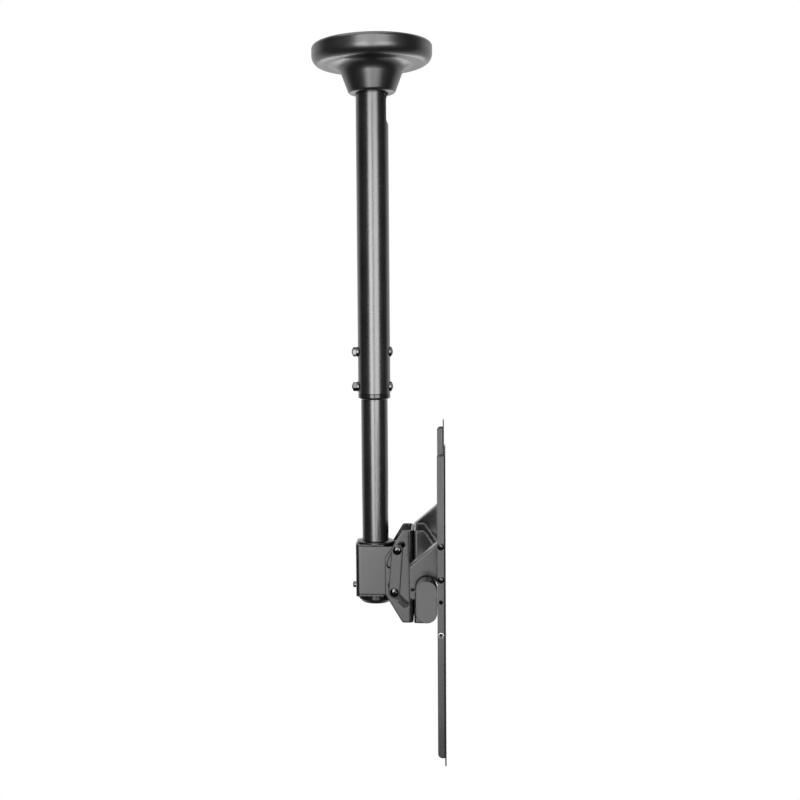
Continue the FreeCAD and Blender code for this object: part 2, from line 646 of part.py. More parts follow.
def rail_bracket():
    """A folded channel that faces the screen; the rail passes through both flanges."""
    top, floor = HEAD_Z + BRACKET_HALF_H, HEAD_Z - BRACKET_HALF_H
    front = RAIL_FRONT_X + RAIL_FLANGE_FRONT
    bracket = channel(front, RAIL_WEB_X, RAIL_FLANGE_HALF_W, FOLD_T, RAIL_FOLD_R, floor, top)
    r, front_h = CHEEK_ROUND, RAIL_FLANGE_FRONT_HALF_H
    flange = side_prism([(RAIL_WEB_X, floor, 0), (RAIL_FLANGE_TOP_X, floor, r), (front, HEAD_Z - front_h, r),
                         (front, HEAD_Z + front_h, r), (RAIL_FLANGE_TOP_X, top, r), (RAIL_WEB_X, top, 0)],
                        -RAIL_FLANGE_HALF_W, RAIL_FLANGE_HALF_W)
    bracket = bracket.common(flange)
    fit = 2 * WASHER_FIT
    web_front = RAIL_WEB_X + FOLD_T
    opening = side_prism(stadium(RAIL_W + fit, RAIL_H + fit, TILT_X, RAIL_Z),
                         -RAIL_FLANGE_HALF_W, RAIL_FLANGE_HALF_W)
    web_side = Part.makeBox(RAIL_W, 4 * RAIL_H, 4 * RAIL_H,
                            V(web_front - RAIL_W, -2 * RAIL_H, RAIL_Z - 2 * RAIL_H))
    bracket = bracket.cut(opening.cut(web_side))
    bracket = bracket.cut(rod_x(M10_D / 2 + RUN_FIT, RAIL_WEB_X, web_front, 0, HEAD_Z))
    travel = LEVEL_LOCK_Z * math.tan(math.radians(LEVEL_DEG)) + HOLE_FIT
    for side in (1, -1):
        slot = slot_corners(M6_D / 2 + travel, M6_D / 2 + HOLE_FIT, 0, HEAD_Z + side * LEVEL_LOCK_Z)
        bracket = bracket.cut(front_prism(slot, RAIL_WEB_X, web_front))
    return bracket


def rail():
    """A flat-oval tube that carries both arms."""
    y = RAIL_LENGTH / 2
    tube = side_prism(stadium(RAIL_W, RAIL_H, TILT_X, RAIL_Z), -y, y)
    bore = side_prism(stadium(RAIL_W - 2 * RAIL_WALL, RAIL_H - 2 * RAIL_WALL, TILT_X, RAIL_Z), -y, y)
    return tube.cut(bore)


def rail_end_cap(side):
    """A plastic plug: a face as wide as the rail on a hollow stub inside it."""
    y = side * RAIL_LENGTH / 2
    face = side_prism(stadium(RAIL_W, RAIL_H, TILT_X, RAIL_Z), y, y + side * CAP_FACE_T)
    rim = [e for e in face.Edges if abs(e.CenterOfMass.y - (y + side * CAP_FACE_T)) < SLIVER]
    face = face.makeFillet(CAP_EDGE_ROUND, rim)
    fit = 2 * (RAIL_WALL + RUN_FIT)
    plug = side_prism(stadium(RAIL_W - fit, RAIL_H - fit, TILT_X, RAIL_Z), y - side * CAP_PLUG_L, y)
    fit += 2 * CAP_PLUG_WALL
    hollow = side_prism(stadium(RAIL_W - fit, RAIL_H - fit, TILT_X, RAIL_Z), y - side * CAP_PLUG_L, y)
    return face.fuse(plug.cut(hollow))


# Screen arms

def screen_arm(side):
    """A shallow folded channel with tabs at both ends and rows of screen holes."""
    middle = side * ARM_SPACING / 2
    top, floor = ARM_Z + ARM_LENGTH / 2, ARM_Z - ARM_LENGTH / 2
    arm = channel(ARM_BACK_X, ARM_FRONT_X, ARM_W / 2, ARM_T, ARM_FOLD_R, floor, top)
    arm.translate(V(0, middle, 0))
    web_back = ARM_FRONT_X - ARM_T
    r = ARM_END_R
    low, high = middle - ARM_W / 2, middle + ARM_W / 2
    body = side_prism([(ARM_BACK_X, floor + ARM_TAB, r), (web_back, floor + ARM_TAB, 0), (web_back, floor, 0),
                       (ARM_FRONT_X, floor, 0), (ARM_FRONT_X, top, 0), (web_back, top, 0),
                       (web_back, top - ARM_TAB, 0), (ARM_BACK_X, top - ARM_TAB, r)], low, high)
    face = front_prism([(low, floor, ARM_TAB_R), (high, floor, ARM_TAB_R), (high, top, ARM_TAB_R),
                        (low, top, ARM_TAB_R)], ARM_BACK_X, ARM_FRONT_X)
    arm = arm.common(body).common(face)
    for s in (1, -1):
        for z in SCREEN_HOLES:
            arm = arm.cut(rod_x(SCREEN_HOLE_D / 2, web_back, ARM_FRONT_X, middle, ARM_Z + s * z))
        for z in SCREEN_SLOTS:
            slot = stadium(SCREEN_HOLE_D, SCREEN_SLOT_L, middle, ARM_Z + s * z)
            arm = arm.cut(front_prism(slot, web_back, ARM_FRONT_X))
    for z in FLANGE_HOLE_Z:
        arm = arm.cut(rod_y(M5_D / 2 + HOLE_FIT, middle - ARM_W, middle + ARM_W, ARM_HOLE_X, z))
    return arm


def rail_hook(side):
    """A folded hook that hangs an arm on the rail: two cheeks under a sloping roof."""
    outer, inner = side * ARM_IN, side * (ARM_IN - HOOK_W)
    front = ARM_FRONT_X - ARM_FOLD_R
    r = HOOK_ROUND
    leg_end = HEAD_Z
    corners = [(HOOK_BACK_X, leg_end, r), (HOOK_BACK_X, HEAD_Z + HOOK_LEG_TOP, r),
               (ARM_BACK_X, HEAD_Z + HOOK_ROOF_TOP, 0), (ARM_BACK_X, HEAD_Z + HOOK_TAB_TOP, 0),
               (front, HEAD_Z + HOOK_TAB_TOP, 0), (front, HEAD_Z + HOOK_TAB_BOTTOM, 0),
               (TILT_X, HEAD_Z + HOOK_TAB_BOTTOM, 0), (TILT_X, leg_end, 0)]
    block = side_prism(corners, inner, outer)
    slope_x, slope_z = ARM_BACK_X - HOOK_BACK_X, HOOK_ROOF_TOP - HOOK_LEG_TOP
    drop = HOOK_T * math.hypot(slope_x, slope_z) / slope_x
    past = RAIL_W * slope_z / slope_x
    low_x, high_x, low_z = HOOK_BACK_X - RAIL_W, ARM_BACK_X + RAIL_W, leg_end - RAIL_H
    under = side_prism([(low_x, low_z, 0), (low_x, HEAD_Z + HOOK_LEG_TOP - drop - past, 0),
                        (high_x, HEAD_Z + HOOK_ROOF_TOP - drop + past, 0), (high_x, low_z, 0)],
                       inner + side * HOOK_T, outer - side * HOOK_T)
    front_gap = Part.makeBox(ARM_DEPTH + RAIL_W, HOOK_W - HOOK_T, 4 * RAIL_H,
                             V(ARM_BACK_X, min(inner, outer - side * HOOK_T), HEAD_Z - RAIL_H))
    hook = block.cut(under).cut(front_gap)
    clear = stadium(RAIL_W + 2 * SLIDE_FIT, RAIL_H + 2 * SLIDE_FIT, TILT_X, RAIL_Z)
    hook = hook.cut(side_prism(clear, inner, outer))
    for z in BOLTED_HOLE_Z:
        hook = hook.cut(rod_y(M5_D / 2 + HOLE_FIT, inner, outer, ARM_HOLE_X, z))
    pin_x = (HOOK_BACK_X + RAIL_BACK_X) / 2
    return hook.cut(rod_y(HOOK_PIN_D / 2, inner, outer, pin_x, HEAD_Z + HOOK_PIN_Z))


def arm_bolts(side):
    length = ARM_W + HOOK_T + M5_NUT_H + BOLT_TAIL
    places = [V(ARM_HOLE_X, side * ARM_OUT, z) for z in BOLTED_HOLE_Z]
    return Part.makeCompound([
        button_screw(M5_HEAD_D, M5_HEAD_H, M5_D, length, M5_SOCKET, place, V(0, side, 0)) for place in places])


def arm_nuts(side):
    places = [V(ARM_HOLE_X, side * (ARM_IN - HOOK_T), z) for z in BOLTED_HOLE_Z]
    return Part.makeCompound([hex_nut(M5_HEX, M5_NUT_H, M5_D, place, V(0, -side, 0)) for place in places])


def rivet_nut(side):
    """A flanged threaded sleeve in the lowest flange hole, for a lock screw under the rail."""
    seat, inner, outer = side * ARM_OUT, side * (ARM_OUT - RIVET_NUT_L), side * (ARM_OUT + RIVET_NUT_FLANGE)
    body = rod_y(M5_D / 2 + HOLE_FIT, seat, inner, ARM_HOLE_X, RIVET_HOLE_Z)
    flange = rod_y(RIVET_NUT_D / 2, seat, outer, ARM_HOLE_X, RIVET_HOLE_Z)
    return body.fuse(flange).cut(rod_y(RIVET_NUT_BORE / 2, inner, outer, ARM_HOLE_X, RIVET_HOLE_Z))


PIECES = [ceiling_plate, ceiling_cover, upper_tube, guide_bush, saddle_washers, height_bolts, height_nuts,
          lower_tube, glide_ring, retaining_flange, bottom_cap,
          swivel_collar, thrust_bush, box_top_plate, box_floor_plate, swivel_box,
          swivel_lock_screw, lock_screw_nut,
          tilt_screws, tilt_nuts, tilt_washers, tilt_bracket,
          level_pivot_bolt, level_pivot_nut, level_washer, level_lock_bolts, level_lock_nuts,
          rail_bracket, rail]
HANDED_PIECES = [tilt_link, rail_end_cap, screen_arm, rail_hook, arm_bolts, arm_nuts, rivet_nut]


def main():
    os.makedirs("parts", exist_ok=True)
    for piece in PIECES:
        piece().exportStep(f"parts/{piece.__name__}.step")
    for piece in HANDED_PIECES:
        for name, side in SIDES.items():
            piece(side).exportStep(f"parts/{piece.__name__}_{name}.step")


main()
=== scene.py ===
import json
import math

import bpy
import numpy as np
from mathutils import Matrix, Vector


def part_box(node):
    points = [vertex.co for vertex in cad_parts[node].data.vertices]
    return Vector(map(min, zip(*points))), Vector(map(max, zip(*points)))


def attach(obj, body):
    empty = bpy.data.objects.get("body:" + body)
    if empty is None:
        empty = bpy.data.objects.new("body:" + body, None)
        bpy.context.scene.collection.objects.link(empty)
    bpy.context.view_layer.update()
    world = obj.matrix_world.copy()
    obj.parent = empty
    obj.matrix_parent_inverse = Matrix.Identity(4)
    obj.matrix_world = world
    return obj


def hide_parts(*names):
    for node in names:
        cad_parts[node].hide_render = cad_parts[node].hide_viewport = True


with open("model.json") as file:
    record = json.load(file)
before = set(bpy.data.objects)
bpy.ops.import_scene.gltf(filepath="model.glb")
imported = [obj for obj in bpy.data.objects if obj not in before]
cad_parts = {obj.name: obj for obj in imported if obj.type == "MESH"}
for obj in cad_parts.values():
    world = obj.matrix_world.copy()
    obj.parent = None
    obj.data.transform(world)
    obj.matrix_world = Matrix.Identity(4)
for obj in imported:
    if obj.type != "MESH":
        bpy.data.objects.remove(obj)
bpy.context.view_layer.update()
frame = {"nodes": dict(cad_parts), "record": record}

NODES = frame["nodes"]
RECORD = frame["record"]
SLOTS = {s["node"]: s["material_slot"] for s in RECORD["subparts"]}
BODY_OF = {node: body for body, nodes in RECORD["behaviour"]["bodies"].items() for node in nodes}
MM = 0.001
X, Y, Z = range(3)
SPLIT = 20.0


def reach(node):
    """A node's lowest and highest corners at rest, in millimetres."""
    return np.array(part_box(node)) / MM


def middles(node):
    """The middles of a node's solids that stand one above the other, in millimetres: the points are sorted
    by height and split at gaps wider than SPLIT, and a middle lies half-way between a run's two corners."""
    mesh = NODES[node].data
    flat = np.empty(len(mesh.vertices) * 3)
    mesh.vertices.foreach_get("co", flat)
    points = flat.reshape(-1, 3) / MM
    points = points[np.argsort(points[:, Z])]
    cuts = np.flatnonzero(np.diff(points[:, Z]) > SPLIT) + 1
    return np.array([(run.min(axis=0) + run.max(axis=0)) / 2 for run in np.split(points, cuts)])


# Finishes

TONE_STOPS = (0.35, 0.65)
SHEEN_SPAN = (0.3, 0.7)
SLOW_DETAIL, FINE_DETAIL = 4.0, 3.0
EDGE_SAMPLES = 6
BLUE_TRACE = 0.0005


def grey(value):
    """A grey with a trace of blue in it."""
    return value, value, value + BLUE_TRACE


def painted(name, dark, light, gloss, level, grain, depth, edge, metal=0.0, blotch=14.0):
    """A procedural coat: colour runs between dark and light and roughness between the two gloss values with
    a slow noise of `blotch` waves a metre, a fine noise of `grain` waves a metre gives the bump, and edges
    are rounded by `edge` metres."""
    mat = bpy.data.materials.new(name)
    mat.use_nodes = True
    nodes, links = mat.node_tree.nodes, mat.node_tree.links
    shader = nodes["Principled BSDF"]
    shader.inputs["Metallic"].default_value = metal
    shader.inputs["Specular IOR Level"].default_value = level
    place = nodes.new("ShaderNodeTexCoord").outputs["Object"]

    slow = nodes.new("ShaderNodeTexNoise")
    slow.inputs["Scale"].default_value = blotch
    slow.inputs["Detail"].default_value = SLOW_DETAIL
    links.new(place, slow.inputs["Vector"])
    tone = nodes.new("ShaderNodeValToRGB")
    for stop, at, colour in zip(tone.color_ramp.elements, TONE_STOPS, (dark, light)):
        stop.position = at
        stop.color = (*colour, 1.0)
    links.new(slow.outputs["Fac"], tone.inputs["Fac"])
    links.new(tone.outputs["Color"], shader.inputs["Base Color"])

    sheen = nodes.new("ShaderNodeMapRange")
    sheen.inputs["From Min"].default_value, sheen.inputs["From Max"].default_value = SHEEN_SPAN
    sheen.inputs["To Min"].default_value, sheen.inputs["To Max"].default_value = gloss
    links.new(slow.outputs["Fac"], sheen.inputs["Value"])
    links.new(sheen.outputs["Result"], shader.inputs["Roughness"])

    fine = nodes.new("ShaderNodeTexNoise")
    fine.inputs["Scale"].default_value = grain
    fine.inputs["Detail"].default_value = FINE_DETAIL
    links.new(place, fine.inputs["Vector"])
    bump = nodes.new("ShaderNodeBump")
    bump.inputs["Strength"].default_value = 1.0
    bump.inputs["Distance"].default_value = depth
    links.new(fine.outputs["Fac"], bump.inputs["Height"])
    if edge:
        rounded = nodes.new("ShaderNodeBevel")
        rounded.samples = EDGE_SAMPLES
        rounded.inputs["Radius"].default_value = edge
        links.new(rounded.outputs["Normal"], bump.inputs["Normal"])
    links.new(bump.outputs["Normal"], shader.inputs["Normal"])
    return mat


def paint_gap_shade(mat, axis, middle, half, share):
    """Paints shade into a coat by cutting its sheen to `share` where the piece's place along `axis` lies
    within
    `half` of `middle`, both in millimetres: inside a folded piece or between two plates, where shade falls."""
    nodes, links = mat.node_tree.nodes, mat.node_tree.links
    level = nodes["Principled BSDF"].inputs["Specular IOR Level"]
    along = nodes.new("ShaderNodeSeparateXYZ")
    links.new(nodes.new("ShaderNodeTexCoord").outputs["Object"], along.inputs["Vector"])
    inside = nodes.new("ShaderNodeMath")
    inside.operation = "COMPARE"
    inside.inputs[1].default_value = middle * MM
    inside.inputs[2].default_value = half * MM
    links.new(along.outputs[axis], inside.inputs[0])
    cut = nodes.new("ShaderNodeMapRange")
    cut.inputs["To Min"].default_value = level.default_value
    if level.is_linked:
        links.new(level.links[0].from_socket, cut.inputs["To Min"])
    cut.inputs["To Max"].default_value = level.default_value * share
    links.new(inside.outputs["Value"], cut.inputs["Value"])
    links.new(cut.outputs["Result"], level)


SHEET_LOOK = dict(dark=grey(0.006), light=grey(0.010), gloss=(0.17, 0.21), level=0.50,
                  grain=1300.0, depth=0.00001, edge=0.0036)
SHEET_COAT = painted("matte_sheet_coat", **SHEET_LOOK)
# The two bracket coats are the sheet coat with painted shade added below, where their webs face each other.
RAIL_BRACKET_SHADED_COAT = painted("matte_rail_bracket_coat_painted_shade", **SHEET_LOOK)
TILT_BRACKET_SHADED_COAT = painted("matte_tilt_bracket_coat_painted_shade", **SHEET_LOOK)
ARM_COAT = painted("matte_arm_coat", grey(0.006), grey(0.010), gloss=(0.27, 0.31), level=0.48,
                   grain=1300.0, depth=0.00001, edge=0.0013)
TUBE_COAT = painted("satin_tube_coat", grey(0.004), grey(0.007), gloss=(0.265, 0.283), level=1.0,
                    grain=700.0, depth=0.000004, edge=0.0004)
PLASTIC = painted("moulded_plastic", grey(0.005), grey(0.008), gloss=(0.15, 0.19), level=0.55,
                  grain=1600.0, depth=0.00001, edge=0.0006)
CAP_PLASTIC = painted("gloss_cap_plastic", grey(0.004), grey(0.006), gloss=(0.14, 0.18), level=0.30,
                      grain=1600.0, depth=0.000005, edge=0.0006)
COVER_PLASTIC = painted("satin_cover_plastic", grey(0.004), grey(0.007), gloss=(0.30, 0.34), level=0.85,
                        grain=1600.0, depth=0.000015, edge=0.0006)
BLACK_SCREW = painted("black_oxide", (0.055, 0.055, 0.056), (0.075, 0.075, 0.076), gloss=(0.04, 0.07),
                      level=0.5, grain=1500.0, depth=0.000003, edge=0.0, metal=1.0, blotch=90.0)
ZINC = painted("bright_zinc", (0.30, 0.305, 0.315), (0.40, 0.405, 0.415), gloss=(0.22, 0.34),
               level=0.5, grain=1200.0, depth=0.00002, edge=0.0003, metal=1.0, blotch=120.0)

# Painted shade: little light gets between the two brackets, whose webs face each other, and inside the tilt
# bracket, so the coats' sheen is cut there.
BRACKET_T = 3.0
GAP_SPARE, GAP_SHARE = 0.4, 0.0
INSIDE_SPARE, INSIDE_SHARE = 0.5, 0.5
tilt_web, rail_web = reach("tilt_bracket")[1][X], reach("rail_bracket")[0][X]
tilt_inside = reach("tilt_bracket")[1][Y] - BRACKET_T
# Painted shade inside the tilt bracket: half its sheen is kept; between the webs none is kept.
paint_gap_shade(TILT_BRACKET_SHADED_COAT, "Y", 0.0, tilt_inside + INSIDE_SPARE, INSIDE_SHARE)
for facing in (TILT_BRACKET_SHADED_COAT, RAIL_BRACKET_SHADED_COAT):
    paint_gap_shade(facing, "X", (tilt_web + rail_web) / 2, (rail_web - tilt_web) / 2 + GAP_SPARE, GAP_SHARE)

FINISH = {"black_steel": SHEET_COAT, "black_plastic": PLASTIC, "black_fastener": BLACK_SCREW,
          "zinc_fastener": ZINC}
OWN_FINISH = {"upper_tube": TUBE_COAT, "lower_tube": TUBE_COAT, "ceiling_cover": COVER_PLASTIC,
              "bottom_cap": CAP_PLASTIC, "screen_arm_left": ARM_COAT, "screen_arm_right": ARM_COAT,
              "tilt_bracket": TILT_BRACKET_SHADED_COAT, "rail_bracket": RAIL_BRACKET_SHADED_COAT}
for node, obj in NODES.items():
    obj.data.materials.clear()
    obj.data.materials.append(OWN_FINISH.get(node, FINISH[SLOTS[node]]))

# Turned pieces: screws, nuts, rivet nuts and the guide bush, in millimetres

TURN = 2.0 * np.pi
STEPS = 48
SHARP = math.radians(32.0)
THREAD_ROWS, THREAD_FILL = 6, 1.15
OUTER_DEPTH, INNER_DEPTH = 0.55, 0.50


def turned(node, radius, height, seats, loop):
    """Replaces `node` by equal turned solids, one for each seat (base, axis, spin). The grid's first
    parameter runs along a profile and its second round the axis: point = base + axis * height
    + radius * (u cos a + v sin a), where the angle a starts at the spin, or at 0 where the seat gives none.
    A loop joins the profile's last ring to its first; otherwise each end closes in a pole on the axis."""
    levels, steps = radius.shape
    angle = np.arange(steps) * TURN / steps
    row = np.arange(levels if loop else levels - 1)[:, None] * steps
    col = np.arange(steps)[None, :]
    after, above = (col + 1) % steps, (row + steps) % (levels * steps)
    quads = np.stack([row + col, row + after, above + after, above + col], axis=-1).reshape(-1, 4)
    first, last, top = levels * steps, levels * steps + 1, (levels - 1) * steps
    rim, follow = np.arange(steps), (np.arange(steps) + 1) % steps
    fans = np.concatenate([np.stack([np.full(steps, first), follow, rim], axis=-1),
                           np.stack([np.full(steps, last), top + rim, top + follow], axis=-1)])
    points, faces, count = [], [], 0
    for base, axis, *spin in seats:
        axis = np.array(axis, dtype=float)
        side = np.array((0.0, 0.0, 1.0)) if abs(axis[Z]) < 0.5 else np.array((0.0, 1.0, 0.0))
        u = np.cross(axis, side)
        v = np.cross(axis, u)
        a = (angle + sum(spin))[None, :, None]
        round_axis = u * np.cos(a) + v * np.sin(a)
        grid = np.array(base) + axis * height[..., None] + round_axis * radius[..., None]
        poles = np.array(base) + axis * height[[0, -1], 0][:, None]
        points.append(grid.reshape(-1, 3) if loop else np.concatenate([grid.reshape(-1, 3), poles]))
        faces += (quads + count).tolist() + ([] if loop else (fans + count).tolist())
        count += len(points[-1])
    mesh = bpy.data.meshes.new(node + "_turned")
    mesh.from_pydata((np.concatenate(points) * MM).tolist(), [], faces)
    mesh.shade_smooth()
    mesh.set_sharp_from_angle(angle=SHARP)
    mesh.materials.append(NODES[node].data.materials[0])
    piece = bpy.data.objects.new(node + "_turned", mesh)
    bpy.context.collection.objects.link(piece)
    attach(piece, BODY_OF[node])
    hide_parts(node)


def hexagon():
    """Radius of a hexagon that is 2 across its flats, round the axis: 1 over the cosine of the angle from
    the middle of the nearest flat."""
    angle = np.arange(STEPS) * TURN / STEPS
    return 1.0 / np.cos((angle + TURN / 12) % (TURN / 6) - TURN / 12)


def rings(rows, steps=STEPS):
    """Profile rows (radius, height) as two grids; each radius is a number or an array round the axis."""
    radius = np.stack([np.broadcast_to(r, steps) for r, _ in rows])
    height = np.stack([np.full(steps, h) for _, h in rows])
    return radius, height


def thread(radius, depth, pitch, low, high):
    """A screw thread from low to high: the radius falls by `depth` as a clipped triangle wave of
    height / pitch - angle / turn, and the wave dies out over one pitch at both ends."""
    count = max(2, int(round(abs(high - low) / pitch * THREAD_ROWS)) + 1)
    height = np.linspace(low, high, count)[:, None]
    phase = (height / pitch - np.arange(STEPS) / STEPS) % 1.0
    fade = np.clip(np.minimum(abs(height - low), abs(high - height)) / pitch, 0.0, 1.0)
    wave = np.clip(THREAD_FILL * (1.0 - abs(2.0 * phase - 1.0)), 0.0, 1.0)
    return radius - depth * fade * wave, np.broadcast_to(height, phase.shape)


def joined(*parts):
    """Several (radius, height) grids as one."""
    return np.concatenate([p[0] for p in parts]), np.concatenate([p[1] for p in parts])


# A screw's tip rows are (share of the shank's radius, rise in shank diameters), and a straight head's edge
# rows are (way in from the side, way down from the top).
TIP = ((0.55, 0.0), (0.80, 0.0), (0.98, 0.12))
TIP_RISE, GRIP, PLAIN_LEAST = 0.15, 1.6, 1.0
FILLET_DEEP, FILLET_WIDE = 0.2, 1.02
RIM_IN, RIM_UP = 0.3, 0.25
DOME_RIM, DOME_ROWS = 0.20, 12
STRAIGHT_EDGE = ((0.0, 0.8), (0.25, 0.3), (0.8, 0.0))
SOCKET_MOUTH, SOCKET_EASE = 1.08, 0.25
SOCKET_FLOOR, SOCKET_CONE, SOCKET_POINT = 0.15, 0.5, 0.04


def screw(node, seats, length, head_d, head_h, shank_d, socket, pitch, dome=True):
    """Socket screws that stand on their seats and reach down by `length`: a tapered tip, a thread, a plain
    shank and a head. A dome is a ball's cap above a short rim, and a straight head has a rounded edge. The
    hexagon socket ends in a cone."""
    head_r, shank_r, hexa = head_d / 2, shank_d / 2, hexagon() * socket / 2
    mouth = socket / math.sqrt(3) * SOCKET_MOUTH
    tip = rings([(shank_r * wide, shank_d * rise - length) for wide, rise in TIP])
    cut = thread(shank_r, OUTER_DEPTH * pitch, pitch, TIP_RISE * shank_d - length,
                 min(length - PLAIN_LEAST, GRIP * shank_d) - length)
    if dome:
        rise = head_h * (1.0 - DOME_RIM)
        ball = (head_r ** 2 + rise ** 2) / (2.0 * rise)
        crown = [(x, head_h - ball + math.sqrt(ball ** 2 - x ** 2))
                 for x in np.linspace(head_r, mouth, DOME_ROWS)]
    else:
        crown = [(head_r - inwards, head_h - down) for inwards, down in STRAIGHT_EDGE] + [(mouth, head_h)]
    below = [(shank_r, -FILLET_DEEP), (shank_r * FILLET_WIDE, 0.0), (head_r - RIM_IN, 0.0), (head_r, RIM_UP)]
    top, floor_h = crown[-1][1], SOCKET_FLOOR * head_h
    inner = [(hexa, top - SOCKET_EASE), (hexa, floor_h),
             (hexa * SOCKET_POINT, floor_h - SOCKET_CONE * socket)]
    turned(node, *joined(tip, cut, rings(below + crown + inner)), seats, loop=False)


CONE_ROWS, CONE_FOOT, CONE_SLOPE = (0.0, 0.04, 0.08, 0.13), 0.94, 1.7
CROWN_ROWS, CROWN_TOP, CROWN_SWELL = 9, 0.74, 0.42
SINK, THREAD_END = 1.08, 0.06


def nut(node, seats, flats, height, bore_d, pitch, crown=0.0):
    """Hexagon nuts that stand on their seats: both ends chamfered by a cone, countersunk, threaded bore. A
    crown rounds the outer end over that height: the radius is cut off by a quarter ellipse."""
    flat, bore = flats / 2, bore_d / 2
    hexa, sink = hexagon() * flat, bore * SINK
    cone = [(np.minimum(hexa, flat * (CONE_FOOT + CONE_SLOPE * e)), height * e) for e in CONE_ROWS]
    outer = [(r, height - h) for r, h in cone[::-1]]
    if crown:
        arc = [(t, math.sqrt(1.0 - (1.0 - t) ** 2)) for t in np.linspace(1.0, 0.0, CROWN_ROWS)]
        outer = [(np.minimum(hexa, flat * (CROWN_TOP + CROWN_SWELL * w)), height - crown * t)
                 for t, w in arc]
    hole = thread(bore, INNER_DEPTH * pitch, pitch, height * (1.0 - THREAD_END), height * THREAD_END)
    turned(node, *joined(rings([(sink, 0.0)] + cone + outer + [(sink, height)]), hole), seats, loop=True)


SIDES = {"left": 1.0, "right": -1.0}
M5 = dict(head_d=9.5, head_h=2.8, shank_d=5.0, socket=3.0, pitch=0.8)
M6 = dict(head_d=10.5, head_h=3.3, shank_d=6.0, socket=4.0, pitch=1.0)
M6_STRAIGHT = dict(head_d=9.7, head_h=6.2, shank_d=6.0, socket=4.0, pitch=1.0, dome=False)
M8 = dict(head_d=14.0, head_h=2.8, shank_d=8.0, socket=3.4, pitch=1.25)
M10 = dict(head_d=18.0, head_h=2.6, shank_d=10.0, socket=4.0, pitch=1.5)
NUT_M5 = dict(flats=8.0, height=4.0, bore_d=5.0, pitch=0.8)
NUT_M6 = dict(flats=10.0, height=4.0, bore_d=6.0, pitch=1.0)
NUT_M8 = dict(flats=13.0, height=6.8, bore_d=8.0, pitch=1.25, crown=2.6)
NUT_M8_THIN = dict(flats=13.0, height=3.4, bore_d=8.0, pitch=1.25)
NUT_M10 = dict(flats=16.0, height=8.0, bore_d=10.0, pitch=1.5)

# The height bolts cross the tube on saddle washers, with their crowned nuts to the rear.
NUT_SPINS = (math.radians(17.0), 0.0)
height_z = middles("height_nuts")[:, Z]
saddle_rear, saddle_front = reach("saddle_washers")[:, X]
height_l = saddle_front - reach("height_bolts")[0][X]
screw("height_bolts", [((saddle_front, 0.0, z), (1, 0, 0)) for z in height_z], length=height_l, **M8)
nut("height_nuts", [((saddle_rear, 0.0, z), (-1, 0, 0), spin) for z, spin in zip(height_z, NUT_SPINS)],
    **NUT_M8)

# The tilt screws go through the links and the slots, with their nuts inside the ears.
TILT_SCREW_L = 15.9
tilt_at = middles("tilt_nuts")[:, [X, Z]]
link_out, ear_in = reach("tilt_link_left")[1][Y], reach("tilt_nuts")[1][Y]
screw("tilt_screws", [((x, s * link_out, z), (0, s, 0)) for s in SIDES.values() for x, z in tilt_at],
      length=TILT_SCREW_L, **M8)
nut("tilt_nuts", [((x, s * ear_in, z), (0, -s, 0)) for s in SIDES.values() for x, z in tilt_at],
    **NUT_M8_THIN)

# The level bolts hold the rail bracket to the tilt bracket: a pivot bolt between two lock bolts.
pivot_z, lock_z = middles("level_pivot_nut")[:, Z], middles("level_lock_nuts")[:, Z]
pivot_tip, pivot_top = reach("level_pivot_bolt")[:, X]
level_seat, level_nut_x = pivot_top - M10["head_h"], reach("level_pivot_nut")[1][X]
pivot_l, lock_l = level_seat - pivot_tip, level_seat - reach("level_lock_bolts")[0][X]
screw("level_pivot_bolt", [((level_seat, 0.0, z), (1, 0, 0)) for z in pivot_z], length=pivot_l, **M10)
nut("level_pivot_nut", [((level_nut_x, 0.0, z), (-1, 0, 0)) for z in pivot_z], **NUT_M10)
screw("level_lock_bolts", [((level_seat, 0.0, z), (1, 0, 0)) for z in lock_z], length=lock_l, **M6)
nut("level_lock_nuts", [((level_nut_x, 0.0, z), (-1, 0, 0)) for z in lock_z], **NUT_M6)

# The swivel lock screw goes through the rear of the swivel box into a nut.
swivel_z = middles("lock_screw_nut")[:, Z]
box_back, box_inside = reach("swivel_box")[0][X], reach("lock_screw_nut")[0][X]
swivel_l = reach("swivel_lock_screw")[1][X] - box_back
screw("swivel_lock_screw", [((box_back, 0.0, z), (-1, 0, 0)) for z in swivel_z], length=swivel_l,
      **M6_STRAIGHT)
nut("lock_screw_nut", [((box_inside, 0.0, z), (1, 0, 0)) for z in swivel_z], **NUT_M6)

# Each arm has two bolts through flange and hook, and a rivet nut with a lip in its lowest flange hole. The
# lip's rows are (way in from the side, height) and the mouth's are (way out from the bore, height).
RIVET_R, RIVET_BODY_R, RIVET_BORE_R, RIVET_L = 4.1, 2.8, 2.5, 9.0
RIVET_LIP = ((0.0, 0.0), (0.0, 0.3), (0.15, 0.62), (0.5, 0.8))
RIVET_MOUTH = ((0.75, 0.8), (0.3, 0.2), (0.0, -0.4))
RIVET_PITCH, RIVET_THREAD, RIVET_TOP, RIVET_END = 0.8, 0.4, 0.6, 0.2
rivet = joined(rings([(RIVET_BORE_R, -RIVET_L), (RIVET_BODY_R, -RIVET_L), (RIVET_BODY_R, 0.0)]
                     + [(RIVET_R - inwards, h) for inwards, h in RIVET_LIP]
                     + [(RIVET_BORE_R + out, h) for out, h in RIVET_MOUTH]),
               thread(RIVET_BORE_R, RIVET_THREAD, RIVET_PITCH, -RIVET_TOP, RIVET_END - RIVET_L))
bolt_at, rivet_at = middles("arm_nuts_left")[:, [X, Z]], middles("rivet_nut_left")[:, [X, Z]]
arm_out, hook_in = reach("screen_arm_left")[1][Y], reach("arm_nuts_left")[1][Y]
arm_bolt_l = arm_out - reach("arm_bolts_left")[0][Y]
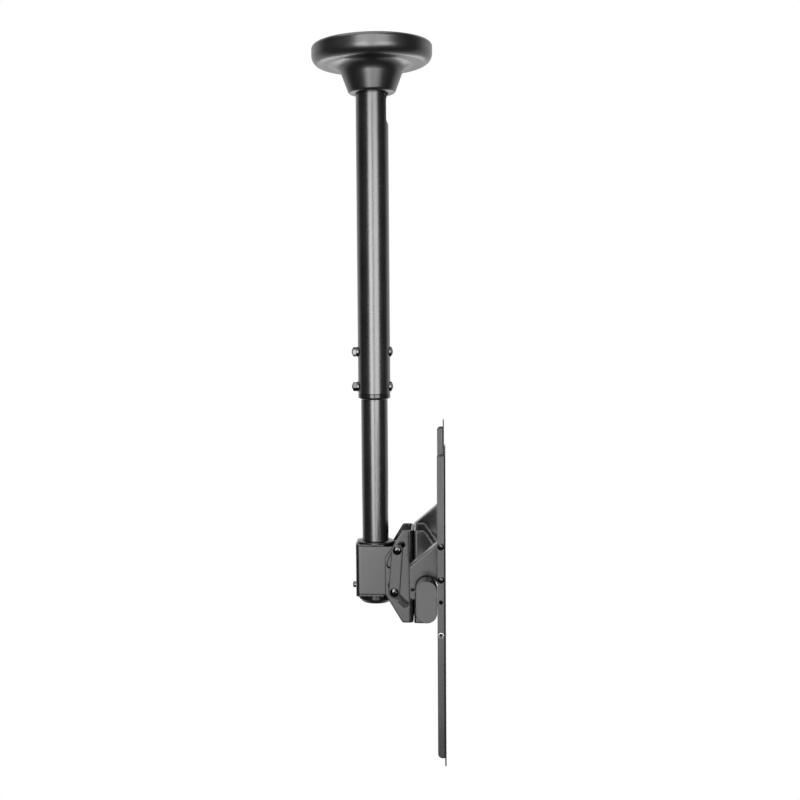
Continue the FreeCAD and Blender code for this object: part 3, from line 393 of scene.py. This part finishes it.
for name, s in SIDES.items():
    screw("arm_bolts_" + name, [((x, s * arm_out, z), (0, s, 0)) for x, z in bolt_at], length=arm_bolt_l,
          **M5)
    nut("arm_nuts_" + name, [((x, s * hook_in, z), (0, -s, 0)) for x, z in bolt_at], **NUT_M5)
    turned("rivet_nut_" + name, *rivet, [((x, s * arm_out, z), (0, s, 0)) for x, z in rivet_at], loop=True)

# The guide bush has a sleeve in the upper tube's end and a rounded flange below it, with a groove between.
# The groove's rows are (way in from the flange's side, way down from its top).
BUSH_BORE, BUSH_SLEEVE, BUSH_EASE = 21.05, 23.55, 0.6
BUSH_ROUND, BUSH_ROUND_ROWS, BUSH_STEPS = 4.0, 10, 160
BUSH_GROOVE = ((0.0, 1.4), (0.15, 1.0), (0.8, 0.6), (0.8, 0.0))
(_, _, bush_low), (bush_r, _, sleeve_top) = reach("guide_bush")
flange_top = reach("upper_tube")[0][Z]
bush = rings([(BUSH_BORE, bush_low + BUSH_EASE), (BUSH_BORE + BUSH_EASE, bush_low)]
             + [(bush_r - BUSH_ROUND * (1 - math.cos(a)), bush_low + BUSH_ROUND * (1 + math.sin(a)))
                for a in np.linspace(-math.pi / 2, 0.0, BUSH_ROUND_ROWS)]
             + [(bush_r - inwards, flange_top - down) for inwards, down in BUSH_GROOVE]
             + [(BUSH_SLEEVE, flange_top), (BUSH_SLEEVE, sleeve_top), (BUSH_BORE, sleeve_top)],
             steps=BUSH_STEPS)
turned("guide_bush", *bush, [((0.0, 0.0, 0.0), (0, 0, 1))], loop=True)

# Floor, light and background, in metres

FLOOR_Z, FLOOR_HALF = -2.2, 6.0
FLOOR_GREY, FLOOR_ROUGH = (0.85, 0.85, 0.85, 1.0), 0.7
SHADOW_REACH = (0.9, 2.0)
SIDE_GREY = 0.04
BEHIND = (0.10, 0.60)
WHITE = (1.0, 1.0, 1.0, 1.0)

floor_mesh = bpy.data.meshes.new("floor")
floor_corners = [(x * FLOOR_HALF, y * FLOOR_HALF, FLOOR_Z) for x, y in ((-1, -1), (1, -1), (1, 1), (-1, 1))]
floor_mesh.from_pydata(floor_corners, [], [(0, 1, 2, 3)])
floor = bpy.data.objects.new("floor", floor_mesh)
bpy.context.collection.objects.link(floor)


def calc(tree, operation, one, two):
    """One arithmetic node on two sockets, kept between 0 and 1."""
    node = tree.nodes.new("ShaderNodeMath")
    node.operation = operation
    node.use_clamp = True
    tree.links.new(one, node.inputs[0])
    tree.links.new(two, node.inputs[1])
    return node.outputs["Value"]


def ramp(tree, value, span, least=0.0):
    """A smooth step: `least` where `value` lies below the span, 1 above it."""
    step = tree.nodes.new("ShaderNodeMapRange")
    step.interpolation_type = "SMOOTHSTEP"
    step.inputs["From Min"].default_value, step.inputs["From Max"].default_value = span
    step.inputs["To Min"].default_value = least
    tree.links.new(value, step.inputs["Value"])
    return step.outputs["Result"]


def studio_light(tree, away):
    """What a mirror sees of the studio: white where `away`, the ray's direction, leads behind the mount, and
    dim grey on the other sides."""
    turn = tree.nodes.new("ShaderNodeSeparateXYZ")
    tree.links.new(away, turn.inputs["Vector"])
    return ramp(tree, turn.outputs["Y"], BEHIND, least=SIDE_GREY)


def light_path(tree):
    """The share of rays that come from the camera, and of those that come off a mirror or through glass."""
    path = tree.nodes.new("ShaderNodeLightPath").outputs
    return path["Is Camera Ray"], calc(tree, "ADD", path["Is Glossy Ray"], path["Is Transmission Ray"])


def laid_over(tree, plain, cover, share, out):
    """The shader `cover` over `plain` by `share`, sent to the output node."""
    mix = tree.nodes.new("ShaderNodeMixShader")
    tree.links.new(share, mix.inputs["Fac"])
    tree.links.new(plain, mix.inputs[1])
    tree.links.new(cover, mix.inputs[2])
    tree.links.new(mix.outputs["Shader"], out.inputs["Surface"])


# The floor takes a shadow below the mount and is white further off; mirrors see the studio in its place.
pale = bpy.data.materials.new("pale_floor")
pale.use_nodes = True
tree = pale.node_tree
paint = tree.nodes["Principled BSDF"]
paint.inputs["Base Color"].default_value = FLOOR_GREY
paint.inputs["Roughness"].default_value = FLOOR_ROUGH
under = tree.nodes.new("ShaderNodeMapping")
under.inputs["Location"].default_value = (0.0, 0.0, -FLOOR_Z)
tree.links.new(tree.nodes.new("ShaderNodeTexCoord").outputs["Object"], under.inputs["Vector"])
distance = tree.nodes.new("ShaderNodeVectorMath")
distance.operation = "LENGTH"
tree.links.new(under.outputs["Vector"], distance.inputs[0])
far = ramp(tree, distance.outputs["Value"], SHADOW_REACH)
away = tree.nodes.new("ShaderNodeVectorMath")
away.operation = "SCALE"
away.inputs["Scale"].default_value = -1.0
tree.links.new(tree.nodes.new("ShaderNodeNewGeometry").outputs["Incoming"], away.inputs[0])
seen, bounced = light_path(tree)
glow = tree.nodes.new("ShaderNodeEmission")
bright = calc(tree, "MAXIMUM", seen, studio_light(tree, away.outputs["Vector"]))
tree.links.new(bright, glow.inputs["Strength"])
laid_over(tree, paint.outputs["BSDF"], glow.outputs["Emission"],
          calc(tree, "ADD", bounced, calc(tree, "MULTIPLY", far, seen)), tree.nodes["Material Output"])
floor_mesh.materials.append(pale)

# The camera sees a white backdrop, mirrors see the studio, and other rays get a little grey light.
world = bpy.data.worlds.new("studio")
bpy.context.scene.world = world
world.use_nodes = True
tree = world.node_tree
around = tree.nodes["Background"]
around.inputs["Color"].default_value = WHITE
around.inputs["Strength"].default_value = SIDE_GREY
seen, bounced = light_path(tree)
backdrop = tree.nodes.new("ShaderNodeBackground")
backdrop.inputs["Color"].default_value = WHITE
outward = tree.nodes.new("ShaderNodeTexCoord").outputs["Generated"]
tree.links.new(calc(tree, "MAXIMUM", seen, studio_light(tree, outward)), backdrop.inputs["Strength"])
laid_over(tree, around.outputs["Background"], backdrop.outputs["Background"],
          calc(tree, "ADD", seen, bounced), tree.nodes["World Output"])


def softbox(name, centre, target, size, radiance):
    """A rectangular lamp at `centre`, turned to `target`: its power is radiance * pi * width * height."""
    width, height = size
    lamp = bpy.data.lights.new(name, "AREA")
    lamp.shape = "RECTANGLE"
    lamp.size, lamp.size_y = width, height
    lamp.energy = radiance * math.pi * width * height
    obj = bpy.data.objects.new(name, lamp)
    obj.location = centre
    obj.rotation_euler = (Vector(target) - Vector(centre)).to_track_quat("-Z", "Y").to_euler()
    obj.visible_camera = False
    bpy.context.collection.objects.link(obj)


LAMP_Z = -0.40
AIM = (0.0, 0.0, LAMP_Z)
REAR_X, REAR_Y, REAR_Z = 0.75, 2.2, -1.5
softbox("left_softbox", (-0.52, -2.2, LAMP_Z), AIM, size=(0.96, 1.5), radiance=9.0)
softbox("right_softbox", (0.92, -2.15, LAMP_Z), AIM, size=(1.40, 1.5), radiance=7.2)
softbox("low_softbox", (0.45, -2.2, -1.41), (0.45, 0.0, -0.9), size=(1.3, 0.52), radiance=3.4)
softbox("low_left_softbox", (-0.42, -2.2, -1.45), (-0.42, 0.0, -0.9), size=(0.40, 0.60), radiance=6.4)
softbox("high_softbox", (0.15, -2.2, 0.72), (0.0, 0.0, 0.0), size=(2.6, 0.55), radiance=5.5)
softbox("top_softbox", (-0.3, -0.6, 1.4), (0.0, 0.0, -0.5), size=(2.0, 2.0), radiance=2.5)
for name, s in SIDES.items():
    softbox("rear_" + name + "_softbox", (-s * REAR_X, REAR_Y, REAR_Z), (0.0, 0.0, -0.6), size=(1.1, 0.8),
            radiance=3.0)

# Camera, fitted to the photo; the shift is that of a picture cropped off its lens axis

FOCAL_PX = 1151.289
SENSOR = 36.0
IMAGE_PX = 800
CAMERA_AT = (0.10088, -1.818915, -0.419814)
YAW, PITCH, ROLL = (math.radians(d) for d in (6.122, 3.729, -0.664))
SHIFT = (0.106066, -0.010828)
CLIP = (0.05, 50.0)

lens = bpy.data.cameras.new("camera")
lens.sensor_width = SENSOR
lens.lens = FOCAL_PX * SENSOR / IMAGE_PX
lens.shift_x, lens.shift_y = SHIFT
lens.clip_start, lens.clip_end = CLIP
forward = Vector((-math.sin(YAW) * math.cos(PITCH), math.cos(YAW) * math.cos(PITCH), -math.sin(PITCH)))
level_right = Vector((math.cos(YAW), math.sin(YAW), 0.0))
level_up = level_right.cross(forward)
right = level_right * math.cos(ROLL) + level_up * math.sin(ROLL)
up = level_up * math.cos(ROLL) - level_right * math.sin(ROLL)
camera = bpy.data.objects.new("camera", lens)
turn = Matrix((right, up, -forward)).transposed()
camera.matrix_world = Matrix.Translation(CAMERA_AT) @ turn.to_4x4()
bpy.context.collection.objects.link(camera)
bpy.context.scene.camera = camera
bpy.context.scene.view_settings.view_transform = "Standard"
